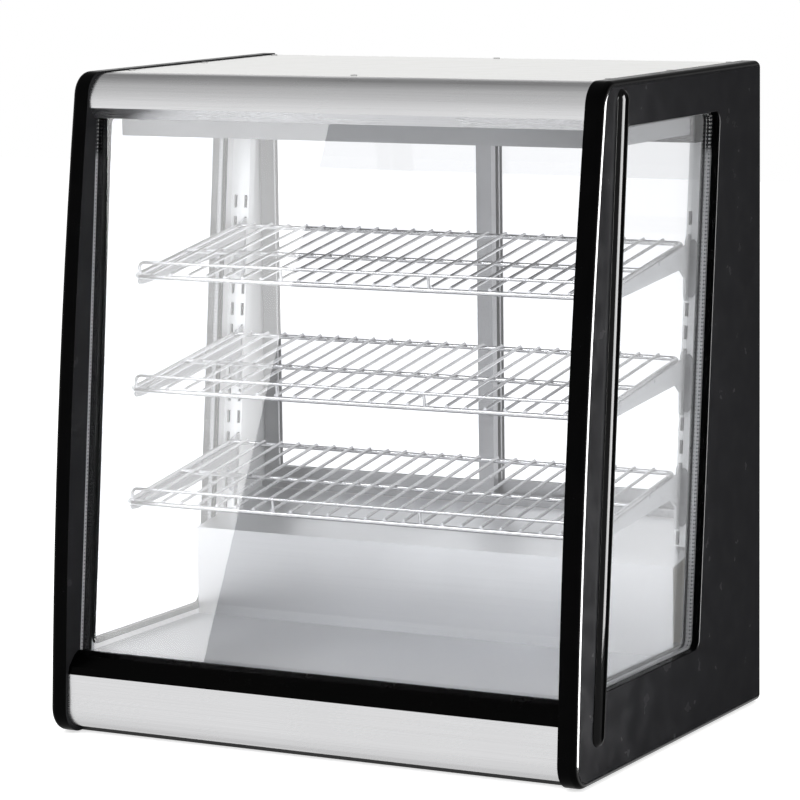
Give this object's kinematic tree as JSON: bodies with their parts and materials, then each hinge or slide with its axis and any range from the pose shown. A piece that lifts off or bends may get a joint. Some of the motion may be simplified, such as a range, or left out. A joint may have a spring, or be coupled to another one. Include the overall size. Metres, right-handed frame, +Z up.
{
  "type": "refrigerated display case",
  "caption": "Countertop refrigerated display case: leaning glass front, windowed side panels, wire shelves on slotted uprights, sliding rear doors and a machine bay below.",
  "frame": {"origin": "Centre of the footprint, on the surface the case stands on.", "axes": "+Z up; the customer's front glass faces -Y; +X is to the right seen from the front."},
  "size_m": [0.715, 0.5265, 0.79],
  "materials": {
    "black_panel": "black gloss painted side panel",
    "side_glass": "clear insulated side glass",
    "front_glass": "clear insulated front glass",
    "door_glass": "clear door glass",
    "spacer_bar": "perforated mill-finish glazing spacer",
    "white_liner": "white enamel inner wall",
    "black_trim": "glossy black trim",
    "black_trim_cap": "glossy black domed cap",
    "black_rail": "black glazing rail",
    "stainless": "fine horizontally brushed stainless",
    "white_steel": "white powder coat",
    "screw_steel": "plated screw head",
    "foam": "rigid foam",
    "lamp_housing": "pale grey lamp housing",
    "lamp_lens": "milky lamp lens",
    "valance_steel": "dark grey valance",
    "seal_rubber": "black glazing seal",
    "galvanised": "galvanised sheet",
    "black_plastic": "black moulded plastic",
    "foot_rubber": "black rubber foot",
    "deck_steel": "satin stainless interior sheet",
    "upright_aluminium": "pale satin shelf upright",
    "bracket_steel": "pale coated shelf bracket",
    "chrome_wire": "chromed wire",
    "track_aluminium": "satin extruded track",
    "door_frame": "satin extruded door frame",
    "coil_aluminium": "mill-finish fins",
    "fan_plastic": "black fan blades",
    "compressor_paint": "black enamel can",
    "button_plastic": "grey push button",
    "switch_plastic": "black rocker"
  },
  "bodies": {
    "cabinet": {"side_panel_left": "black_panel", "side_panel_right": "black_panel", "side_glass_left": "side_glass", "side_glass_right": "side_glass", "side_spacers": "spacer_bar", "corner_seals": "seal_rubber", "side_liner_left": "white_liner", "side_liner_right": "white_liner", "trim_bar_left": "black_trim", "trim_bar_right": "black_trim", "trim_bar_caps": "black_trim_cap", "front_glass": "front_glass", "front_spacer": "spacer_bar", "front_rail": "black_rail", "front_panel": "stainless", "top_trim": "stainless", "top_panel": "white_steel", "ceiling_liner": "white_liner", "top_insulation": "foam", "rear_header": "white_steel", "light_housing": "lamp_housing", "light_lens": "lamp_lens", "rear_valance": "valance_steel", "base_pan": "galvanised", "plinth": "black_plastic", "feet": "foot_rubber", "base_insulation": "foam", "deck": "deck_steel", "machine_cover": "deck_steel", "bulkhead_insulation": "foam", "rear_sill": "white_steel", "pilasters": "upright_aluminium", "brackets": "bracket_steel", "shelf_top": "chrome_wire", "shelf_middle": "chrome_wire", "shelf_bottom": "chrome_wire", "door_track_bottom": "track_aluminium", "door_track_top": "track_aluminium", "evaporator_coil": "coil_aluminium", "condenser_coil": "coil_aluminium", "fan_frames": "black_plastic", "compressor": "compressor_paint", "rear_cover": "white_steel", "panel_screws": "screw_steel", "cord_gland": "black_plastic", "controller": "black_plastic", "switch_housings": "black_plastic"},
    "left_door": {"door_left_frame": "door_frame", "door_left_glass": "door_glass", "door_left_pull": "black_plastic"},
    "right_door": {"door_right_frame": "door_frame", "door_right_glass": "door_glass", "door_right_pull": "black_plastic"},
    "cold_fan": {"evaporator_fan_rotor": "fan_plastic"},
    "hot_fan": {"condenser_fan_rotor": "fan_plastic"},
    "power_rocker": {"power_switch": "switch_plastic"},
    "light_rocker": {"light_switch": "switch_plastic"},
    "set_button": {"button_set": "button_plastic"},
    "up_button": {"button_up": "button_plastic"},
    "down_button": {"button_down": "button_plastic"}
  },
  "joints": [
    {"name": "left_door_slide", "type": "slide", "parent": "cabinet", "child": "left_door", "axis": [1, 0, 0], "range_m": [0, 0.29]},
    {"name": "right_door_slide", "type": "slide", "parent": "cabinet", "child": "right_door", "axis": [1, 0, 0], "range_m": [-0.29, 0]},
    {"name": "cold_fan_spin", "type": "hinge", "parent": "cabinet", "child": "cold_fan", "pos_m": [0.19, 0.075, 0.145], "axis": [0, 1, 0], "continuous": true},
    {"name": "hot_fan_spin", "type": "hinge", "parent": "cabinet", "child": "hot_fan", "pos_m": [0.195, 0.208, 0.0705], "axis": [0, 1, 0], "continuous": true},
    {"name": "power_rocker_tilt", "type": "hinge", "parent": "cabinet", "child": "power_rocker", "pos_m": [-0.092, 0.2565, 0.17], "axis": [1, 0, 0], "range_deg": [-10, 10]},
    {"name": "light_rocker_tilt", "type": "hinge", "parent": "cabinet", "child": "light_rocker", "pos_m": [-0.062, 0.2565, 0.17], "axis": [1, 0, 0], "range_deg": [-10, 10]},
    {"name": "set_button_press", "type": "slide", "parent": "cabinet", "child": "set_button", "axis": [0, -1, 0], "range_m": [0, 0.0006], "stiffness_N_per_m": 600},
    {"name": "up_button_press", "type": "slide", "parent": "cabinet", "child": "up_button", "axis": [0, -1, 0], "range_m": [0, 0.0006], "stiffness_N_per_m": 600},
    {"name": "down_button_press", "type": "slide", "parent": "cabinet", "child": "down_button", "axis": [0, -1, 0], "range_m": [0, 0.0006], "stiffness_N_per_m": 600}
  ]
}
